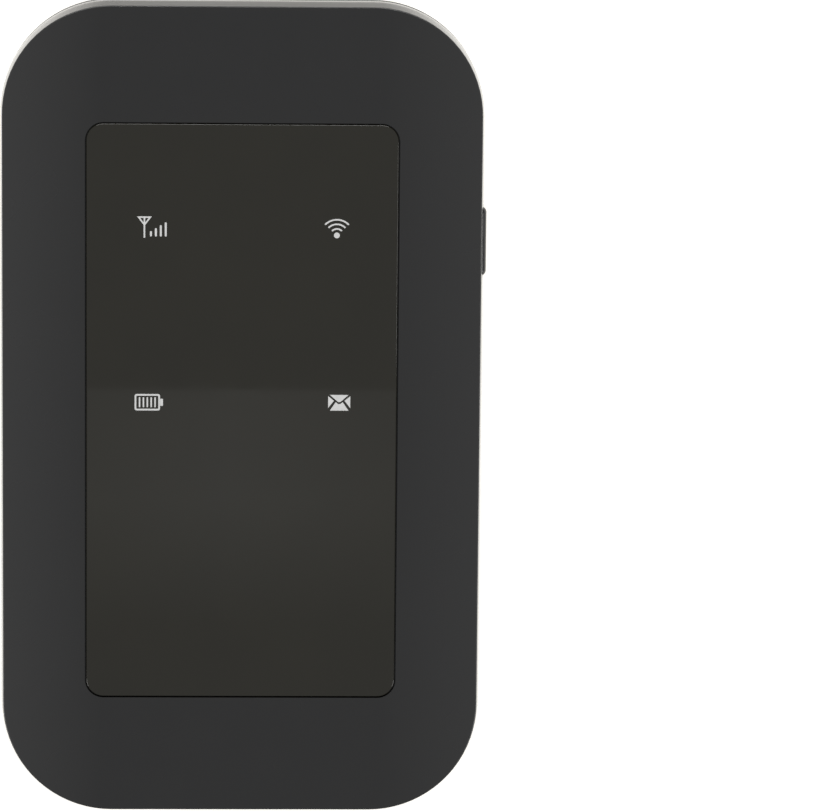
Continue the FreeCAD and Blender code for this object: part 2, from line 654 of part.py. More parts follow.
def make_main_board():
    body = new_body("main_board")
    pad(body, "Laminate", "board_low", "board_high", [(draw_rounded, *outline("board_inset"))])
    above = ("-body_width / 2", "body_width / 2", "board_top", "body_length / 2")
    top_cut = pocket(body, "TopEdge", "board_low", "board_high", [(draw_rectangle, *above)])
    round_edges(body, "TopCorners", top_cut, "2", standing_at("board_top"))
    notches = [(draw_circle, x, y, "boss_radius + 0.5") for x, y in FRAME_SCREWS]
    pocket(body, "BossNotches", "board_low", "board_high", notches)
    holes = [(draw_circle, x, y, "shank_radius + 0.15") for x, y in BOARD_SCREWS]
    pocket(body, "ScrewHoles", "board_low", "board_high", holes)


def make_shield_can(label, x_low, x_high, y_low, y_high, vents_x, vents_y):
    """A drawn sheet-metal can, open towards the board, with a grid of vent holes."""
    body = new_body(label)
    top = "board_high + can_height"
    pad(body, "Can", "board_high", top, [(draw_rounded, x_low, x_high, y_low, y_high, "can_radius")])
    inside = [f"{limit} {sign} can_sheet" for limit, sign in zip((x_low, x_high, y_low, y_high), "+-+-")]
    hollow = [(draw_rounded, *inside, "can_radius - can_sheet")]
    pocket(body, "Inside", "board_high", f"{top} - can_sheet", hollow)
    middle_x = f"(({x_low}) + ({x_high})) / 2"
    middle_y = f"(({y_low}) + ({y_high})) / 2"
    vents = []
    for column in range(vents_x):
        for line in range(vents_y):
            x = f"{middle_x} + {2 * (column - (vents_x - 1) / 2)}"
            y = f"{middle_y} + {2 * (line - (vents_y - 1) / 2)}"
            vents.append((draw_circle, x, y, "0.45"))
    pocket(body, "Vents", f"{top} - can_sheet", top, vents)


def make_chip(label, x, y, width, height, thick):
    """A moulded chip with its pin-one dimple."""
    base = "board_high + 0.1"
    form = block(label + "Form", *around(x, y, width, height), base, f"{base} + {thick}")
    corner = (f"{x} - ({width}) / 2 + 0.9", f"{y} + ({height}) / 2 - 0.9")
    dimple = rod(label + "Dimple", *corner, "0.35", f"board_high + {thick}", f"board_high + 0.2 + {thick}")
    sub_part(cut(label + "Body", form, [dimple]), label)


def make_electronics():
    for label, layout in SHIELD_CANS.items():
        make_shield_can(label, *layout)
    for label, layout in CHIPS.items():
        make_chip(label, *layout)
    make_thermal_pad()
    make_passives()


def make_thermal_pad():
    """Soft pad between the modem's can and the front cover."""
    x, y = CHIPS["modem_chip"][:2]
    body = new_body("thermal_pad")
    low = "board_high + can_height + 0.05"
    form = [(draw_rounded, *around(x, y, "12", "12"), "0.8")]
    pad(body, "Pad", low, "body_depth - front_plate - 0.05", form)


def make_passives():
    capacitors = []
    for row_start, y, pitch, count in CAPACITOR_ROWS:
        for step in range(count):
            limits = around(f"{row_start + pitch * step:.1f}", str(y), "1.0", "1.8")
            name = f"Capacitor{len(capacitors)}"
            capacitors.append(block(name, *limits, "board_high", "board_high + 0.8"))
    group("ceramic_capacitors", capacitors)
    inductors = []
    for place, (x, y) in enumerate(INDUCTORS):
        base = block(f"InductorBase{place}", *around(x, y, "4", "4"), "board_high", "board_high + 0.5")
        core = rod(f"InductorCore{place}", x, y, "1.85", "board_high + 0.5", "board_high + 1.8")
        inductors.append(fuse(f"Inductor{place}", [base, core]))
    group("power_inductors", inductors)
    tantalums = []
    for place, (x, y) in enumerate(TANTALUMS):
        limits = around(x, y, "2.8", "3.5")
        tantalums.append(block(f"Tantalum{place}", *limits, "board_high", "board_high + 1.9"))
    group("tantalum_capacitors", tantalums)
    ports = []
    for place, (x, y) in enumerate(TEST_PORTS):
        barrel = rod(f"PortBarrel{place}", x, y, "1.2", "board_high", "board_high + 1.3")
        bore = rod(f"PortBore{place}", x, y, "0.6", "board_high + 0.5", "board_high + 1.3")
        ports.append(cut(f"Port{place}", barrel, [bore]))
    group("rf_test_ports", ports)


# ---- Micro-USB receptacle ----

def make_usb():
    shell = new_body("micro_usb_shell")
    outer = ("-usb_half_width", "usb_half_width", "usb_low", "usb_high", "0.7")
    half_inner = "(usb_half_width - usb_sheet)"
    inner = (f"-{half_inner}", half_inner, "usb_low + usb_sheet", "usb_high - usb_sheet")
    pad(shell, "Tube", "usb_mouth", "usb_back", [(draw_rounded, *outer)], "XZ_Plane")
    pocket(shell, "Inside", "usb_mouth", "usb_back", [(draw_rounded, *inner, "0.4")], "XZ_Plane")
    feet = []
    for y in ("-61", "-59.2"):
        y_limits = (f"{y} - 0.35", f"{y} + 0.35")
        feet.append((draw_rectangle, "-usb_half_width - 0.7", "-usb_half_width + 0.1", *y_limits))
        feet.append((draw_rectangle, "usb_half_width - 0.1", "usb_half_width + 0.7", *y_limits))
    pad(shell, "Feet", "board_high", "usb_low + 1", feet)
    inside = "usb_half_width - usb_sheet - usb_inner_gap"
    tongue_high = "usb_high - usb_sheet - usb_inner_gap"
    z_limits = ("usb_low + usb_sheet + usb_inner_gap", tongue_high)
    limits = (f"-({inside})", inside, "-60", "usb_back", *z_limits)
    rear = block("UsbBackBlock", *limits)
    tongue_low = f"{tongue_high} - 0.6"
    tongue = block("UsbTonguePlate", "-1.9", "1.9", "usb_mouth + 0.7", "-60", tongue_low, tongue_high)
    sub_part(fuse("UsbTongueBody", [rear, tongue]), "micro_usb_tongue")
    contacts = []
    for place in range(5):
        x_low, x_high, _, _ = around(f"usb_contact_pitch * {place - 2}", "0", "0.3", "1")
        limits = (x_low, x_high, "usb_mouth + 1", "-60", f"{tongue_low} - 0.12", tongue_low)
        contacts.append(block(f"UsbContact{place}", *limits))
    group("micro_usb_contacts", contacts)


# ---- SIM socket, on the rear side of the board ----

def make_sim_socket():
    width = ("sim_left", "sim_right")
    base = block("SimBaseForm", *width, "sim_mouth", "sim_back", "sim_slot_high", "board_low")
    stop = block("SimStop", *width, "sim_back - 1.2", "sim_back", "sim_slot_low", "sim_slot_high")
    sub_part(fuse("SimBaseBody", [base, stop]), "sim_socket_base")
    left = "sim_left - sim_sheet"
    right = "sim_right + sim_sheet"
    low = "sim_slot_low - sim_sheet"
    walls = [
        block("SimCoverPlate", left, right, "sim_mouth + 1.5", "sim_back", low, "sim_slot_low"),
        block("SimCoverLeft", left, "sim_left", "sim_mouth + 1.5", "sim_back", low, "board_low"),
        block("SimCoverRight", "sim_right", right, "sim_mouth + 1.5", "sim_back", low, "board_low"),
    ]
    middle = "(sim_left + sim_right) / 2"
    window = around(middle, "sim_back - 5.5", "7", "5")
    openings = [
        block("SimCoverWindow", *window, f"{low} - 0.1", "sim_slot_low + 0.1"),
        rod("SimCoverThumb", middle, "sim_mouth + 1.5", "3", f"{low} - 0.1", "sim_slot_low + 0.1"),
    ]
    sub_part(cut("SimCoverBody", fuse("SimCoverBlank", walls), openings), "sim_socket_cover")
    contacts = []
    for place in range(6):
        x = f"{middle} + {2.54 * (place % 3 - 1):.2f}"
        y = f"sim_mouth + 5 + {7.6 * (place // 3):.1f}"
        limits = around(x, y, "1.1", "2.6")
        contacts.append(block(f"SimContact{place}", *limits, "sim_slot_high - 0.25", "sim_slot_high"))
    group("sim_contacts", contacts)


# ---- Battery and its connector ----

def make_battery():
    half = "battery_width / 2"
    cell = new_body("battery_cell")
    limits = (f"-{half}", half, "battery_bottom", "battery_joint")
    form = pad(cell, "Form", "battery_low", "battery_high", [(draw_rectangle, *limits)])
    round_edges(cell, "LongEdges", form, "battery_edge", along_y)
    cap = new_body("battery_cap")
    limits = (f"-{half}", half, "battery_joint", "battery_top")
    form = pad(cap, "Form", "battery_low", "battery_high", [(draw_rectangle, *limits)])
    round_edges(cap, "LongEdges", form, "battery_edge", along_y)
    key = ("-23", "-19", "battery_top - 1", "battery_top")
    pocket(cap, "Key", "battery_low", "battery_low + 2", [(draw_rectangle, *key)])
    label = new_body("battery_label")
    paper = (f"-{half} + 2.2", f"{half} - 2.2", "battery_bottom + 1.5", "battery_joint - 1.5")
    pad(label, "Paper", "battery_low - label_thick", "battery_low", [(draw_rounded, *paper, "1")])
    contacts = []
    for place, x in enumerate(PACK_CONTACTS):
        limits = around(x, "battery_top + pad_thick / 2", "2.2", "pad_thick")
        contacts.append(block(f"PackContact{place}", *limits, "3.4", "6.2"))
    group("battery_contacts", contacts)


def make_battery_connector():
    front = "bay_top + 0.3"
    form = block("ConnectorForm", "-6", "6", front, f"{front} + 4.5", "frame_low + 1.4", "board_low")
    slots = []
    springs = []
    for place, x in enumerate(PACK_CONTACTS):
        limits = around(x, f"{front} + 1", "1.9", "2.2")
        slots.append(block(f"ConnectorSlot{place}", *limits, "frame_low + 2.2", "board_low - 1"))
        x_limits = (f"{x} - 0.7", f"{x} + 0.7")
        tip = rod_along_x(f"SpringTip{place}", *x_limits, "battery_top + 0.57", "4.9", "0.45")
        arm = block(f"SpringArm{place}", *x_limits, "battery_top + 0.5", f"{front} + 2.1", "4.75", "5.05")
        springs.append(fuse(f"Spring{place}", [tip, arm]))
    sub_part(cut("ConnectorBody", form, slots), "battery_connector")
    group("battery_springs", springs)


# ---- Power key, reset switch ----

def make_power_key():
    body = new_body("power_button")
    flange = around("key_centre", "key_height_centre", "key_length + 1.2", "key_height + 1")
    pad(body, "Flange", "key_flange_in", "key_flange_out", [(draw_rounded, *flange, "1.5")], "YZ_Plane")
    stem = around("key_centre", "key_height_centre", "key_length", "key_height")
    shapes = [(draw_rounded, *stem, "0.48 * key_height")]
    crown = pad(body, "Stem", "key_flange_out", "key_reach", shapes, "YZ_Plane")
    round_edges(body, "Crown", crown, "key_crown", outermost("key_reach"))


def make_power_switch():
    form_y = ("key_centre - switch_width / 2", "key_centre + switch_width / 2")
    form_z = ("board_high", "key_height_centre + 1.2")
    form = block("PowerSwitchForm", "switch_in", "switch_out", *form_y, *form_z)
    hole_limits = around("key_centre", "key_height_centre", "2.2 + 2 * plunger_gap", "1.2 + 2 * plunger_gap")
    hole = block("PowerSwitchHole", "switch_out - switch_depth", "switch_out", *hole_limits)
    sub_part(cut("PowerSwitchCut", form, [hole]), "power_switch_body")
    limits = around("key_centre", "key_height_centre", "2.2", "1.2")
    plunger = block("PowerPlungerForm", "switch_out - 0.8", "key_flange_in", *limits)
    sub_part(plunger, "power_switch_plunger")


def make_reset_switch():
    x_limits = ("reset_x - switch_width / 2", "reset_x + switch_width / 2")
    form = block("ResetSwitchForm", *x_limits, "reset_face", "-58.7", "board_high", "reset_z + 1.1")
    left, right, low, high = around("reset_x", "reset_z", "1.8 + 2 * plunger_gap", "1 + 2 * plunger_gap")
    hole = block("ResetSwitchHole", left, right, "reset_face", "reset_face + switch_depth", low, high)
    sub_part(cut("ResetSwitchCut", form, [hole]), "reset_switch_body")
    left, right, low, high = around("reset_x", "reset_z", "1.8", "1")
    plunger = block("ResetPlungerForm", left, right, "reset_face - 0.8", "reset_face + 0.8", low, high)
    sub_part(plunger, "reset_plunger")


# ---- Antennas ----

def strip(name, x_low, x_high, y_low, y_high):
    """A foil strip on the front side of the antenna carrier."""
    return block(name, x_low, x_high, y_low, y_high, "carrier_top", "carrier_top + foil_thick")


def wrapped_feed(name, x_low, x_high):
    """Foil that wraps round the edge of the carrier's tongue, with a contact pad under it."""
    edge = "board_top - 1.5"
    pad_high = "carrier_top - carrier_skin"
    pad_low = f"{pad_high} - foil_thick"
    high = "carrier_top + foil_thick"
    return [
        block(name + "Wrap", x_low, x_high, f"{edge} - foil_thick", edge, pad_low, high),
        block(name + "Pad", x_low, x_high, f"{edge} - foil_thick", "board_top", pad_low, pad_high),
    ]


def make_antennas():
    carrier = new_body("antenna_carrier")
    low = "frame_high + 0.2"
    pad(carrier, "Form", low, "carrier_top", [(draw_rounded, *outline("board_inset"))])
    below = ("-body_width / 2", "body_width / 2", "-body_length / 2", "board_top + 0.4")
    pocket(carrier, "LowerEdge", low, "carrier_top", [(draw_rectangle, *below)])
    left, right, _, upper, _ = outline("board_inset + carrier_wall")
    hollow = (left, right, "board_top + 1.5", upper, "4")
    plate = "carrier_top - carrier_skin"
    pocket(carrier, "Hollow", low, plate, [(draw_rounded, *hollow)])
    tongue = [(draw_rectangle, "-6", "7", "board_top - 1.5", "board_top + 1")]
    pad(carrier, "Tongue", plate, "carrier_top", tongue)
    main = [
        strip("MainFeed", "-4", "-2", "board_top - 1.5", "57.5"),
        strip("MainSpine", "-27", "-2", "56", "57.5"),
        strip("MainArm", "-27", "-25", "49", "57.5"),
        strip("MainFoot", "-27", "-10", "49", "50.8"),
        strip("MainReturn", "-12", "-10", "49", "54.5"),
        *wrapped_feed("Main", "-4", "-2"),
    ]
    sub_part(fuse("MainAntennaFoil", main), "main_antenna")
    diversity = [
        strip("DiversityFeed", "3", "5", "board_top - 1.5", "57.5"),
        strip("DiversitySpine", "3", "24", "55.5", "57.5"),
        strip("DiversityArm", "22", "24", "49", "57.5"),
        strip("DiversityFoot", "9", "24", "49", "51"),
        *wrapped_feed("Diversity", "3", "5"),
    ]
    sub_part(fuse("DiversityAntennaFoil", diversity), "diversity_antenna")
    plate_x = ("wifi_left", "wifi_left + wifi_sheet")
    flange = ("wifi_left", "wifi_left + 2.9", "-35", "-17", "wifi_high - wifi_sheet", "wifi_high")
    wifi = [
        block("WifiPlate", *plate_x, "-35", "-17", "wifi_low", "wifi_high"),
        block("WifiFlange", *flange),
        block("WifiFeedLeg", *plate_x, "-20", "-18.6", "board_high", "wifi_low"),
        block("WifiGroundLeg", *plate_x, "-23.4", "-22", "board_high", "wifi_low"),
    ]
    sub_part(fuse("WifiAntennaSheet", wifi), "wifi_antenna")
    clips = []
    back = "board_top - 3.4"
    top = "carrier_top - carrier_skin - foil_thick - 0.01"
    for place, x in enumerate(("-3", "4")):
        across = (f"{x} - 0.7", f"{x} + 0.7")
        clips.append(fuse(f"Clip{place}", [
            block(f"ClipFoot{place}", *across, back, "board_top - 0.7", "board_high", "board_high + 0.15"),
            block(f"ClipRiser{place}", *across, back, f"{back} + 0.15", "board_high", top),
            block(f"ClipArm{place}", *across, back, "board_top - 0.4", f"{top} - 0.15", top),
        ]))
    group("antenna_spring_clips", clips)


def make_rating_label():
    body = new_body("rating_label")
    pad(body, "Paper", "bay_low - label_thick", "bay_low", [(draw_rounded, "-12", "26", "-46", "6", "1")])


# ---- Building, checking and writing ----

make_front_cover()
make_window()
make_lighting()
make_mid_frame()
make_screws()
make_main_board()
make_electronics()
make_usb()
make_sim_socket()
make_battery_connector()
make_power_switch()
make_reset_switch()
make_antennas()
make_rating_label()
make_rear_cover()
make_battery()
make_power_key()
doc.recompute()

failed = [item.Name for item in doc.Objects if "Invalid" in item.State or "Error" in item.State]
for item in SUB_PARTS:
    if item.Shape.isNull() or not item.Shape.isValid() or not item.Shape.Solids:
        failed.append(item.Label)
if failed:
    raise RuntimeError("failed objects: " + ", ".join(failed))

os.makedirs("parts", exist_ok=True)
for item in SUB_PARTS:
    item.Shape.exportStep(f"parts/{item.Label}.step")
print(f"wrote {len(SUB_PARTS)} sub-parts")
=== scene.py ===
"""Looks of the pocket mobile hotspot: materials, printed pictograms, studio and camera."""

import json
import math

import bpy
from mathutils import Euler, Matrix, Vector


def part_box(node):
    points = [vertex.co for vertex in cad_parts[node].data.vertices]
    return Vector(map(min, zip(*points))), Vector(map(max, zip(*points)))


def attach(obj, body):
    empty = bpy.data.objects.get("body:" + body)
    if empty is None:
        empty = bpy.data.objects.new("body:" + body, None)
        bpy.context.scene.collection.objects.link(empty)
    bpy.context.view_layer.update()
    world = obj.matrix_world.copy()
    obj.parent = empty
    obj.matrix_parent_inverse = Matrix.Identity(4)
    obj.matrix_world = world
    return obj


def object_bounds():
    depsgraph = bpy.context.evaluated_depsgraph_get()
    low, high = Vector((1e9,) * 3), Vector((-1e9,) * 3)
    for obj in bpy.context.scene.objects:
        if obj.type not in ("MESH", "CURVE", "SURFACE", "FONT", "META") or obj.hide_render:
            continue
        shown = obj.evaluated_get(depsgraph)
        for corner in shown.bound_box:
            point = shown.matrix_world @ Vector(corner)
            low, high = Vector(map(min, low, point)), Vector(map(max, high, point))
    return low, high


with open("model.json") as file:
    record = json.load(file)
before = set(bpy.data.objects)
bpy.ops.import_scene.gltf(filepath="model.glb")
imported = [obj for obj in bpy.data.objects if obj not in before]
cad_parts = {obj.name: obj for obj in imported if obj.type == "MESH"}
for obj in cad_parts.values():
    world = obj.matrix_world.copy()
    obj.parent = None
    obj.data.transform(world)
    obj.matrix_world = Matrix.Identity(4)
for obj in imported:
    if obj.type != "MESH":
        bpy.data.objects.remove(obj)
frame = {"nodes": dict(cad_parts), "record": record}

cad_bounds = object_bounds()

MM = 0.001


# --- Camera --------------------------------------------------------------------------------------

LENS_LENGTH = 221.5  # millimetres, with the sensor's width
SENSOR_WIDTH = 36.0
CAMERA_PLACE = Vector((-1.7, 118.3, 800.0)) * MM
CAMERA_TILT = (8.48, 2.035, -0.243)  # degrees, from the row's axes to the camera's


def make_camera():
    """A long lens almost straight above the front face."""
    lens = bpy.data.cameras.new("camera")
    lens.sensor_width = SENSOR_WIDTH
    lens.lens = LENS_LENGTH
    lens.clip_start = 0.01
    camera = bpy.data.objects.new("camera", lens)
    bpy.context.scene.collection.objects.link(camera)
    to_camera = Euler([math.radians(angle) for angle in CAMERA_TILT], "XYZ").to_matrix()
    camera.matrix_world = Matrix.Translation(CAMERA_PLACE) @ to_camera.transposed().to_4x4()
    bpy.context.scene.camera = camera


# --- Node helpers --------------------------------------------------------------------------------

REFRACTION = 1.5
FIRST_COLOUR, SECOND_COLOUR, MIXED_COLOUR = 6, 7, 2  # the mix node's sockets for colours
COARSE_DETAIL = 3.0
FINE_DETAIL = 2.0


class Graph:
    """The nodes of a material or of the sky."""

    def __init__(self, tree):
        self.tree = tree

    def node(self, kind, **settings):
        made = self.tree.nodes.new(kind)
        for key, value in settings.items():
            setattr(made, key, value)
        return made

    def link(self, source, target):
        self.tree.links.new(source, target)

    def feed(self, value, socket):
        """Sets a socket to a number or a colour, or links it to another socket."""
        if isinstance(value, (int, float, tuple)):
            socket.default_value = value
        else:
            self.link(value, socket)

    def spread(self, source, low, high, source_low=0.3, source_high=0.7):
        """The source's values spread over the range from low to high, and held at its ends."""
        mapped = self.node("ShaderNodeMapRange")
        self.link(source, mapped.inputs["Value"])
        mapped.inputs["From Min"].default_value = source_low
        mapped.inputs["From Max"].default_value = source_high
        mapped.inputs["To Min"].default_value = low
        mapped.inputs["To Max"].default_value = high
        return mapped.outputs["Result"]

    def maths(self, operation, first, second=0.0):
        """One arithmetic step on sockets or numbers."""
        step = self.node("ShaderNodeMath", operation=operation)
        self.feed(first, step.inputs[0])
        self.feed(second, step.inputs[1])
        return step.outputs[0]


class Surface(Graph):
    """A Principled material that is built up from patterns in the row's own coordinates."""

    def __init__(self, name, colour, roughness, metallic=0.0):
        self.material = bpy.data.materials.new(name)
        self.material.use_nodes = True
        super().__init__(self.material.node_tree)
        self.shader = self.tree.nodes["Principled BSDF"]
        self.shader.inputs["Metallic"].default_value = metallic
        self.shader.inputs["IOR"].default_value = REFRACTION
        self.place = self.node("ShaderNodeTexCoord").outputs["Object"]
        self.colour = (*colour, 1.0)
        self.roughness = roughness

    def noise(self, size_mm, detail=COARSE_DETAIL, stretch=(1, 1, 1)):
        """Noise with features of about that size, and a factor on the place along each axis."""
        mapping = self.node("ShaderNodeMapping")
        mapping.inputs["Scale"].default_value = stretch
        self.link(self.place, mapping.inputs["Vector"])
        texture = self.node("ShaderNodeTexNoise")
        texture.inputs["Scale"].default_value = 1 / (size_mm * MM)
        texture.inputs["Detail"].default_value = detail
        self.link(mapping.outputs["Vector"], texture.inputs["Vector"])
        return texture.outputs["Fac"]

    def mix(self, factor, first, second):
        """A colour between first and second, each a colour or a socket."""
        mixer = self.node("ShaderNodeMix", data_type="RGBA")
        self.link(factor, mixer.inputs["Factor"])
        self.feed(first, mixer.inputs[FIRST_COLOUR])
        self.feed(second, mixer.inputs[SECOND_COLOUR])
        return mixer.outputs[MIXED_COLOUR]

    def axis(self, name):
        """One coordinate of the place, in millimetres."""
        split = self.node("ShaderNodeSeparateXYZ")
        self.link(self.place, split.inputs["Vector"])
        return self.maths("MULTIPLY", split.outputs[name], 1 / MM)

    def mottle(self, size_mm, amount):
        """Makes the colour wander a little lighter and darker."""
        base = self.colour
        darker = tuple(channel * (1 - amount) for channel in base[:3]) + (1.0,)
        lighter = tuple(min(1.0, channel * (1 + amount)) for channel in base[:3]) + (1.0,)
        self.colour = self.mix(self.spread(self.noise(size_mm), 0.0, 1.0), darker, lighter)

    def wear(self, size_mm, amount, stretch=(1, 1, 1)):
        """Makes the roughness wander."""
        base = self.roughness
        pattern = self.noise(size_mm, stretch=stretch)
        self.roughness = self.spread(pattern, base - amount, base + amount)

    def grain(self, size_mm, depth_mm, stretch=(1, 1, 1)):
        """Fine relief."""
        bump = self.node("ShaderNodeBump")
        bump.inputs["Distance"].default_value = depth_mm * MM
        self.link(self.noise(size_mm, FINE_DETAIL, stretch), bump.inputs["Height"])
        self.link(bump.outputs["Normal"], self.shader.inputs["Normal"])

    def done(self):
        """Connects what was built and returns the material."""
        if isinstance(self.colour, tuple):
            self.material.diffuse_color = self.colour
        self.feed(self.colour, self.shader.inputs["Base Color"])
        self.feed(self.roughness, self.shader.inputs["Roughness"])
        return self.material


# --- Materials -----------------------------------------------------------------------------------


def moulded(name, colour, roughness, grain_mm=0.22, depth_mm=0.004):
    """Moulded plastic with a fine spark texture."""
    surface = Surface(name, colour, roughness)
    surface.mottle(6.0, 0.05)
    surface.wear(8.0, 0.015)
    surface.grain(grain_mm, depth_mm)
    return surface.done()


# The spans are in millimetres, from the middle of the device or down from the front face.
PAINTED_SHEEN_GREYS = ((-1, 0.0205), (1, 0.0165))  # the side along X, and how pale the painted sheen makes that side's edge
PAINTED_SHEEN_SPAN = (22.0, 37.5)  # from the middle, where the painted sheen makes the face grow paler
WALL_START = (0.1, 0.5)  # down from the face, where the walls' own finish sets in
WALL_SEAM = (4.0, 6.5)  # down from the face, where the dull walls turn smooth
WALL_CORNER = (22.0, 34.0)  # from the middle, where the dull ends give way to smooth corners
WALL_SMOOTHER = 0.15  # how far the roughness of the walls drops
WALL_DULLER = 0.31  # how far it rises again at both ends


def front_shell(name):
    """The front cover: satin, with a painted sheen that makes the face paler towards both long
    sides, and dull walls at the ends.
    """
    surface = Surface(name, (0.0090, 0.0090, 0.0092), 0.27)
    surface.mottle(6.0, 0.03)
    across = surface.axis("X")
    # Painted sheen: the colour is mixed towards a paler grey near each long edge, standing in for
    # the reflection of the side lights on the satin face.
    for side, grey in PAINTED_SHEEN_GREYS:
        painted_sheen = surface.spread(surface.maths("MULTIPLY", across, side), 0.0, 1.0, *PAINTED_SHEEN_SPAN)
        surface.colour = surface.mix(painted_sheen, surface.colour, (grey, grey, grey, 1.0))
    surface.wear(12.0, 0.012)
    below_face = surface.maths("SUBTRACT", cad_bounds[1].z / MM, surface.axis("Z"))
    on_wall = surface.spread(below_face, 0.0, 1.0, *WALL_START)
    at_end = surface.spread(surface.maths("ABSOLUTE", across), 1.0, 0.0, *WALL_CORNER)
    to_seam = surface.spread(below_face, WALL_DULLER, 0.0, *WALL_SEAM)
    duller = surface.maths("SUBTRACT", surface.maths("MULTIPLY", at_end, to_seam), WALL_SMOOTHER)
    change = surface.maths("MULTIPLY", on_wall, duller)
    surface.roughness = surface.maths("ADD", surface.roughness, change)
    surface.grain(0.3, 0.0008)
    return surface.done()


def rear_shell(name):
    """The rear cover: the same plastic with a duller texture."""
    return moulded(name, (0.0095, 0.0096, 0.0100), 0.54, grain_mm=0.35, depth_mm=0.003)


def smoked_window(name):
    """Polished acrylic, printed dark from behind."""
    surface = Surface(name, (0.0089, 0.0079, 0.0040), 0.02)
    surface.mottle(14.0, 0.08)
    surface.wear(9.0, 0.01)
    surface.grain(7.0, 0.0003)
    return surface.done()


def key_plastic(name):
    """The power key: polished."""
    return moulded(name, (0.005, 0.005, 0.0052), 0.08, grain_mm=0.5, depth_mm=0.0001)


def black_plastic(name):
    """Structural mouldings inside."""
    return moulded(name, (0.016, 0.016, 0.017), 0.5, grain_mm=0.5, depth_mm=0.006)


def socket_plastic(name):
    """Glass-filled connector plastic."""
    return moulded(name, (0.035, 0.035, 0.036), 0.6, grain_mm=0.12, depth_mm=0.006)


def battery_cap(name):
    """End cap of the pack."""
    return moulded(name, (0.022, 0.022, 0.023), 0.42)


def switch_plunger(name):
    """Coloured nylon."""
    return moulded(name, (0.33, 0.045, 0.035), 0.42)


def white_diffuser(name):
    """Milky plastic and the light grey print that it lights."""
    surface = Surface(name, (0.60, 0.60, 0.59), 0.4)
    surface.mottle(0.9, 0.07)
    surface.wear(0.5, 0.05)
    surface.shader.inputs["Subsurface Weight"].default_value = 0.05
    return surface.done()


def adhesive_foam(name):
    """Black foam tape."""
    surface = Surface(name, (0.018, 0.018, 0.018), 0.85)
    surface.mottle(0.5, 0.3)
    surface.grain(0.2, 0.03)
    return surface.done()


def led_body(name):
    """Clear resin over a pale base."""
    surface = Surface(name, (0.78, 0.74, 0.55), 0.18)
    surface.mottle(0.6, 0.1)
    return surface.done()


def screw_metal(name, colour, roughness):
    """Turned metal."""
    surface = Surface(name, colour, roughness, metallic=1.0)
    surface.mottle(0.4, 0.15)
    surface.wear(0.3, 0.08)
    surface.grain(0.12, 0.002, stretch=(1, 1, 6))
    return surface.done()


def black_screw(name):
    """Black oxide on steel."""
    return screw_metal(name, (0.06, 0.06, 0.065), 0.42)


def plated_screw(name):
    """Nickel on steel."""
    return screw_metal(name, (0.56, 0.55, 0.52), 0.28)


def sheet_metal(name, colour, roughness):
    """Rolled and plated sheet, with the rolling lines along X."""
    surface = Surface(name, colour, roughness, metallic=1.0)
    surface.mottle(2.0, 0.06)
    surface.wear(0.5, 0.07, stretch=(0.1, 1, 1))
    surface.grain(0.15, 0.0012, stretch=(0.05, 1, 1))
    return surface.done()


def shield_steel(name):
    """Tinned sheet."""
    return sheet_metal(name, (0.55, 0.55, 0.53), 0.34)


def plated_steel(name):
    """Nickel-plated sheet."""
    return sheet_metal(name, (0.62, 0.61, 0.585), 0.24)


def gold_contact(name):
    """Gold plating."""
    surface = Surface(name, (0.83, 0.58, 0.23), 0.22, metallic=1.0)
    surface.mottle(0.5, 0.08)
    surface.wear(0.3, 0.06)
    return surface.done()


def antenna_copper(name):
    """Etched foil under a thin varnish."""
    surface = Surface(name, (0.70, 0.36, 0.19), 0.3, metallic=1.0)
    surface.mottle(1.5, 0.12)
    surface.wear(0.8, 0.06)
    return surface.done()


TRACK_COLOUR = (0.03, 0.16, 0.075, 1.0)
TRACK_SCALE = 1.6  # millimetres that one unit of the brick pattern covers
TRACK_WIDTH = 0.06
TRACK_LENGTH, TRACK_PITCH = 2.3, 0.31
HOLE_COLOUR = (0.62, 0.52, 0.26, 1.0)
HOLE_PITCH = 2.6  # millimetres, on average
HOLE_RADIUS = 0.085  # as a share of the pitch


def circuit_board(name):
    """Solder mask over copper tracks, with plated through-holes."""
    surface = Surface(name, (0.012, 0.085, 0.042), 0.34)
    tracks = surface.node("ShaderNodeTexBrick", offset=0.37, squash=0.6, squash_frequency=3)
    tracks.inputs["Scale"].default_value = 1 / (TRACK_SCALE * MM)
    tracks.inputs["Mortar Size"].default_value = TRACK_WIDTH
    tracks.inputs["Brick Width"].default_value = TRACK_LENGTH
    tracks.inputs["Row Height"].default_value = TRACK_PITCH
    surface.link(surface.place, tracks.inputs["Vector"])
    holes = surface.node("ShaderNodeTexVoronoi", voronoi_dimensions="2D")
    holes.inputs["Scale"].default_value = 1 / (HOLE_PITCH * MM)
    surface.link(surface.place, holes.inputs["Vector"])
    is_hole = surface.maths("LESS_THAN", holes.outputs["Distance"], HOLE_RADIUS)
    surface.mottle(3.0, 0.12)
    with_tracks = surface.mix(tracks.outputs["Fac"], TRACK_COLOUR, surface.colour)
    surface.colour = surface.mix(is_hole, with_tracks, HOLE_COLOUR)
    surface.wear(2.0, 0.05)
    return surface.done()


def chip_epoxy(name):
    """Moulded package."""
    return moulded(name, (0.022, 0.022, 0.024), 0.52, grain_mm=0.08, depth_mm=0.003)


def tantalum_epoxy(name):
    """Yellow moulded package."""
    return moulded(name, (0.72, 0.42, 0.06), 0.45, grain_mm=0.1, depth_mm=0.003)


def inductor_ferrite(name):
    """Pressed ferrite."""
    return moulded(name, (0.05, 0.05, 0.053), 0.62, grain_mm=0.1, depth_mm=0.008)


def capacitor_ceramic(name):
    """Fired ceramic chips."""
    surface = Surface(name, (0.40, 0.27, 0.17), 0.4)
    surface.mottle(0.5, 0.2)
    surface.grain(0.1, 0.002)
    return surface.done()


def thermal_silicone(name):
    """Soft filled silicone."""
    surface = Surface(name, (0.36, 0.42, 0.48), 0.75)
    surface.mottle(1.2, 0.08)
    surface.grain(0.35, 0.02)
    return surface.done()


